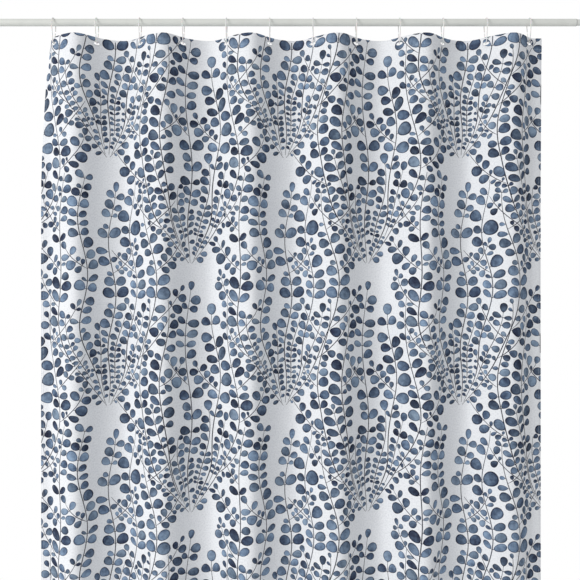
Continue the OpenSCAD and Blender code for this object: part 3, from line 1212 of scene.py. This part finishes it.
def ribbon(path, half_widths):
    """Both sides of a flat line along a path."""
    d = np.gradient(path, axis=0)
    d /= np.linalg.norm(d, axis=1)[:, None] + 1e-12
    side = np.stack([-d[:, 1], d[:, 0]], axis=1)
    return path + side * half_widths[:, None], path - side * half_widths[:, None]


# A stem's width from foot to tip, and half the width of a leaf's stalk
TAPER_AT = [0, 0.2, 0.8, 1]
TAPER = [0.35, 1.0, 0.8, 0.4]
STALK_HALF_WIDTHS = np.array([0.6, 0.8, 1.3]) * MM


def printed_lines(pattern):
    """Path, half widths and tone of every printed stem and leaf stalk."""
    lines = []
    for offset in repeats():
        for stem in pattern.stems:
            path = stem["path"] + offset
            taper = np.interp(np.linspace(0, 1, len(path)), TAPER_AT, TAPER)
            lines.append((path, taper * stem["width"] / 2, stem["tone"]))
        for leaf in pattern.leaves:
            start = leaf["foot"]
            end = leaf["centre"] - leaf["along"] * leaf["half_l"] * 0.93
            path = start + np.linspace(0, 1, 3)[:, None] * (end - start) + offset
            lines.append((path, STALK_HALF_WIDTHS, min(leaf["tone"] + 0.2, 1.0)))
    return lines


def make_stem_mesh(name, pattern, material):
    """All printed stems and leaf stalks as flat lines on the cloth's face."""
    points_u = []
    points_v = []
    tones = []
    faces = []
    count = 0
    right = FLAT_WIDTH - EDGE_INSET
    bottom = FLAT_HEIGHT - EDGE_INSET
    for path, half, tone in printed_lines(pattern):
        u, v = path.T
        inside = (u > EDGE_INSET) & (u < right) & (v > EDGE_INSET) & (v < bottom)
        if not inside.any():
            continue
        one, two = ribbon(path, half)
        good = inside & (np.abs(v - HOLE_DROP) >= hole_clip(u))
        n = len(path)
        points_u += [one[:, 0], two[:, 0]]
        points_v += [one[:, 1], two[:, 1]]
        tones.append(np.tile([tone, 0.0, 0.0], (2 * n, 1)))
        for i in range(n - 1):
            if good[i] and good[i + 1]:
                faces.append((count + i, count + i + n, count + i + n + 1, count + i + 1))
        count += 2 * n
    u = np.clip(np.concatenate(points_u), EDGE_INSET, right)
    v = np.clip(np.concatenate(points_v), EDGE_INSET, bottom)
    used, faces = np.unique(np.array(faces), return_inverse=True)
    faces = [tuple(face) for face in faces.reshape(-1, 4).tolist()]
    lift = FACE + STEM_LIFT
    return add_print(name, u[used], v[used], lift, faces, np.concatenate(tones)[used], material)


def make_print():
    pattern = make_pattern()
    leaf_look = leaf_material()
    chosen = []
    for offset in repeats():
        for leaf in pattern.leaves:
            u, v = leaf["centre"] + offset
            reach = leaf["half_l"] + SIDE_HEM_W + HEADER_H
            if -reach < u < FLAT_WIDTH + reach and -reach < v < FLAT_HEIGHT + reach:
                chosen.append((leaf, offset))
    chosen.sort(key=lambda item: item[0]["centre"][1] + item[1][1])
    made = [make_stem_mesh("print_stems", pattern, stem_material())]
    bounds = np.linspace(0.0, FLAT_HEIGHT, LEAF_GROUPS + 1)
    bounds[0] = -math.inf
    bounds[-1] = math.inf
    for g in range(LEAF_GROUPS):
        part = [c for c in chosen if bounds[g] <= c[0]["centre"][1] + c[1][1] < bounds[g + 1]]
        name = f"print_leaves_{g + 1}"
        made.append(make_leaf_mesh(name, part, [FRONT], FACE + LEAF_LIFT, 3, 9, leaf_look))
    back = HEM_BACK - HEM_LEAF_LIFT
    made.append(make_leaf_mesh("print_on_hems", chosen, BEHIND, back, 2, 9, leaf_look))
    # Painted see-through shade: pale leaves on the cloth's back stand in for light passing through
    # the thin cloth
    back = -FACE - SEE_THROUGH_SHADE_LIFT
    see_through_shade_look = see_through_shade_material()
    made.append(make_leaf_mesh("painted_see_through_leaves", chosen, [FRONT], back, 2, 7, see_through_shade_look))
    return made


# ---------------------------------------------------------------- rings and spring

RING_WIRE_R = 1.5 * MM
RING_BEAD_R = 1.95 * MM
RING_TOP_R = 20.0 * MM
RING_LOW_R = 9.0 * MM
RING_GAP = 6.0 * MM
RING_GAP_START = 11.0 * MM
RING_LIP_R = 6.0 * MM
RING_LIP_TURN = math.radians(35.0)
WIRE_END = math.radians(82.0)
SPRING_WIRE_R = 0.8 * MM
SPRING_TURNS = 9
STEPS_PER_TURN = 36


def arc(centre, radius, start, turn, steps):
    a = start + turn * np.linspace(0.0, 1.0, steps + 1)
    return [centre + radius * np.array([math.cos(x), math.sin(x)]) for x in a]


def ring_line():
    """A ring's centreline in the upright plane across the rod, and the wire's radius along it."""
    low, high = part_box(RING_NAMES[0])
    top_c = np.array([0.0, high.z - RING_WIRE_R - RING_TOP_R])
    low_c = np.array([0.0, low.z + RING_WIRE_R + RING_LOW_R])
    lean = math.asin((RING_TOP_R - RING_LOW_R) / (top_c[1] - low_c[1]))
    side = np.array([math.cos(-lean), math.sin(-lean)])
    rear_top = top_c + RING_TOP_R * side
    rear_low = low_c + RING_LOW_R * side
    down = (rear_low - rear_top) / np.linalg.norm(rear_low - rear_top)
    upper_end = rear_top + down * RING_GAP_START
    lower_end = upper_end + down * (RING_GAP + 2 * RING_BEAD_R)
    points = []
    radii = []
    neck = math.acos(RING_WIRE_R / RING_BEAD_R)
    for a in np.linspace(WIRE_END, -neck, 9):
        points.append(upper_end + down * RING_BEAD_R * math.sin(a))
        radii.append(RING_BEAD_R * math.cos(a))
    body = arc(top_c, RING_TOP_R, -lean, math.pi + 2 * lean, 44)
    body += arc(low_c, RING_LOW_R, math.pi + lean, math.pi - 2 * lean, 26)
    lip_c = lower_end + RING_LIP_R * side
    body += arc(lip_c, RING_LIP_R, math.pi - lean, -RING_LIP_TURN, 6)
    points += body
    radii += [RING_WIRE_R] * len(body)
    tip_a = math.pi - lean - RING_LIP_TURN
    tip_d = np.array([math.sin(tip_a), -math.cos(tip_a)])
    for a in np.linspace(math.radians(20.0), WIRE_END, 5):
        points.append(body[-1] + tip_d * RING_WIRE_R * math.sin(a))
        radii.append(RING_WIRE_R * math.cos(a))
    return np.array(points), np.array(radii)


def make_rings(material):
    line, radii = ring_line()
    rings = []
    for name in RING_NAMES:
        x = middle(name).x
        path = np.column_stack([np.full(len(line), x), line])
        points, faces = swept(path, radii, 16, (1.0, 0.0, 0.0))
        rings.append(add_mesh(f"open_{name}", points, faces, material))
    return rings


def make_spring(material):
    """Compression spring with closed end coils, round the tension screw."""
    low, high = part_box("tension_spring")
    wire = SPRING_WIRE_R
    turns = SPRING_TURNS
    coil_r = high.z - wire
    turned_by = np.linspace(0.0, turns, turns * STEPS_PER_TURN + 1)
    length = high.x - low.x - 2 * wire
    closed = 1.5 * wire
    rise = 0.75 * np.clip((turned_by - 0.9) / (turns - 1.8), 0, 1)
    rise = rise + 0.25 * smooth_step((turned_by - 0.6) / (turns - 1.2))
    ends = np.clip(turned_by, 0, 1) + np.clip(turned_by - turns + 1, 0, 1)
    x = low.x + wire + closed * ends + (length - 2 * closed) * rise
    angle = 2 * np.pi * turned_by
    path = np.column_stack([x, coil_r * np.cos(angle), coil_r * np.sin(angle)])
    along = np.gradient(path, axis=0)
    along /= np.linalg.norm(along, axis=1)[:, None]
    out = np.column_stack([np.zeros(len(x)), np.cos(angle), np.sin(angle)])
    points, faces = swept(path, np.full(len(x), wire), 10, np.cross(along, out))
    return add_mesh("coiled_spring", points, faces, material)


# ---------------------------------------------------------------- assembly

make_camera()
make_lights()
make_world()
scene.view_settings.view_transform = "Standard"

cloth_look = cloth_material()
thread_look = thread_material()
zinc_look = zinc_material()
ring_look = moulded_material(
    "ring_plastic_milky", (0.72, 0.72, 0.70), (0.80, 0.80, 0.785), 0.32, 160.0, 0.15,
    Subsurface_Weight=0.15, Subsurface_Scale=0.003)
outer_look = moulded_material(
    "white_powder_coat", (0.675, 0.685, 0.645), (0.71, 0.72, 0.68), 0.42, 30.0, 0.35)
inner_look = moulded_material(
    "white_powder_coat_inner", (0.69, 0.70, 0.66), (0.72, 0.73, 0.69), 0.40, 30.0, 0.35)
bush_look = moulded_material(
    "joint_bush_plastic", (0.46, 0.46, 0.45), (0.52, 0.52, 0.51), 0.45, 120.0, 0.2)
cap_look = moulded_material(
    "white_cap_plastic", (0.74, 0.74, 0.72), (0.80, 0.80, 0.78), 0.42, 90.0, 0.25)
pad_look = moulded_material(
    "grey_pad_rubber", (0.30, 0.30, 0.30), (0.40, 0.40, 0.395), 0.78, 140.0, 0.6)
nylon_look = moulded_material(
    "natural_nylon", (0.66, 0.64, 0.56), (0.76, 0.74, 0.66), 0.5, 110.0, 0.25,
    Subsurface_Weight=0.1, Subsurface_Scale=0.002)
for look, names in (
    (outer_look, ("outer_tube",)),
    (inner_look, ("inner_tube",)),
    (bush_look, ("joint_bush",)),
    (cap_look, ("left_cap", "right_cap")),
    (pad_look, ("left_pad", "right_pad")),
    (nylon_look, ("friction_plug", "screw_nut")),
    (zinc_look, ("tension_screw", "spring_washer")),
):
    for name in names:
        node = cad[name]
        if node.material_slots:
            node.material_slots[0].material = look
        else:
            node.data.materials.append(look)

cloth = make_cloth(cloth_look)
header, bottom, left_hem, right_hem = make_hems(cloth_look)
buttonholes = make_buttonholes(thread_look)
stitches = [
    make_stitches("hem_stitches_front", FACE + 0.05 * MM, thread_look),
    make_stitches("hem_stitches_back", HEM_BACK - 0.05 * MM, thread_look),
]
printed = make_print()
rings = make_rings(ring_look)
spring = make_spring(zinc_look)

for piece, replaced in (
    (cloth, "curtain_panel"),
    (header, "header_hem"),
    (bottom, "bottom_hem"),
    (left_hem, "left_hem"),
    (right_hem, "right_hem"),
    (buttonholes, "buttonhole_stitching"),
    (spring, "tension_spring"),
):
    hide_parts(replaced)
for k, ring in enumerate(rings):
    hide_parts(RING_NAMES[k])
    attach(ring, f"hanger_{k + 1:02d}")


on_the_curtain = [header, bottom, left_hem, right_hem, buttonholes, *stitches, *printed]
for piece in [cloth, *on_the_curtain]:
    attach(piece, "curtain")
    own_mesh(piece)

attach(spring, "tension_core")
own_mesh(spring)


def make_floor():
    """A plain pale floor with a slightly uneven tone."""
    look = Look("floor_pale", (0.86, 0.86, 0.86), 0.7)
    cloud = look.noise(look.place(), 3.0, 2.0, 0.5)
    look.set_colour(look.ramp(cloud, [(0.3, (0.84, 0.84, 0.84)), (0.7, (0.88, 0.88, 0.88))]))
    corners = [(-0.9, -1.6), (2.9, -1.6), (2.9, 0.95), (-0.9, 0.95)]
    mesh = bpy.data.meshes.new("floor")
    mesh.from_pydata([(x, y, FLOOR_LEVEL) for x, y in corners], [], [(0, 1, 2, 3)])
    mesh.materials.append(look.material)
    floor = bpy.data.objects.new("floor", mesh)
    scene.collection.objects.link(floor)


make_floor()
